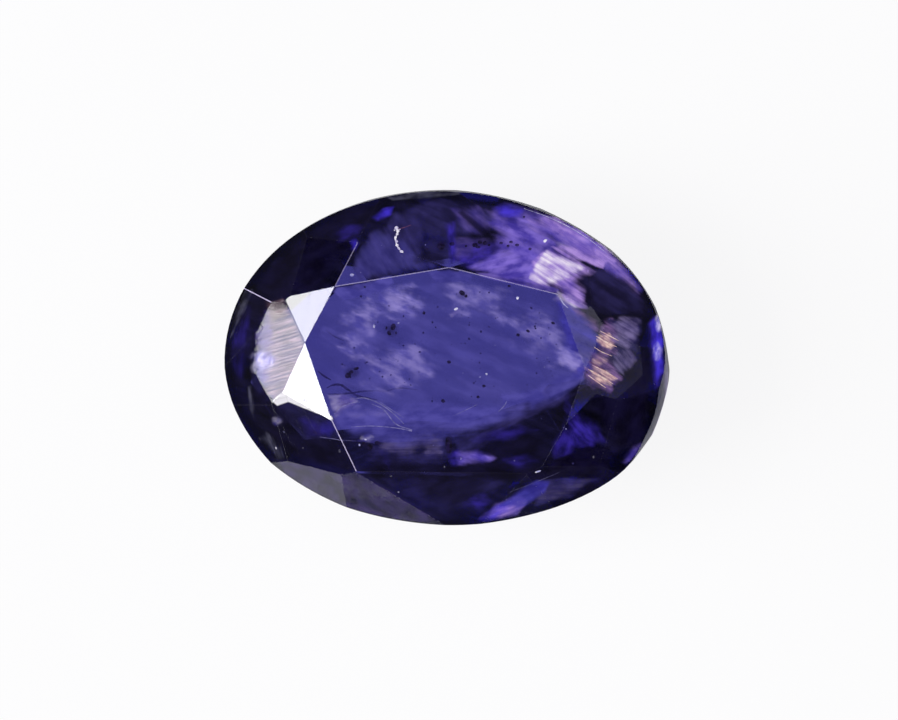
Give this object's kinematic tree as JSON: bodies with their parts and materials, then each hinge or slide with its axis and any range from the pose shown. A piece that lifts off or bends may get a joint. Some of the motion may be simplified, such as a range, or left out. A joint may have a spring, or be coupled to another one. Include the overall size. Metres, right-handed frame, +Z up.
{
  "type": "faceted gemstone",
  "caption": "Loose oval faceted gemstone in clear violet-blue, with a flat table, a narrow girdle and a stepped base that ends in a flat culet.",
  "frame": {"origin": "centre of the stone's box, on the plane of the flat culet that it stands on", "axes": "+X along the long axis, +Y across the stone towards the facet at twelve o'clock, +Z up, square to the table"},
  "size_m": [0.012, 0.009, 0.0048],
  "materials": {
    "iolite": "polished clear violet-blue, with fine polishing lines and natural inclusions"
  },
  "bodies": {
    "root": {"iolite_stone": "iolite"}
  },
  "joints": []
}
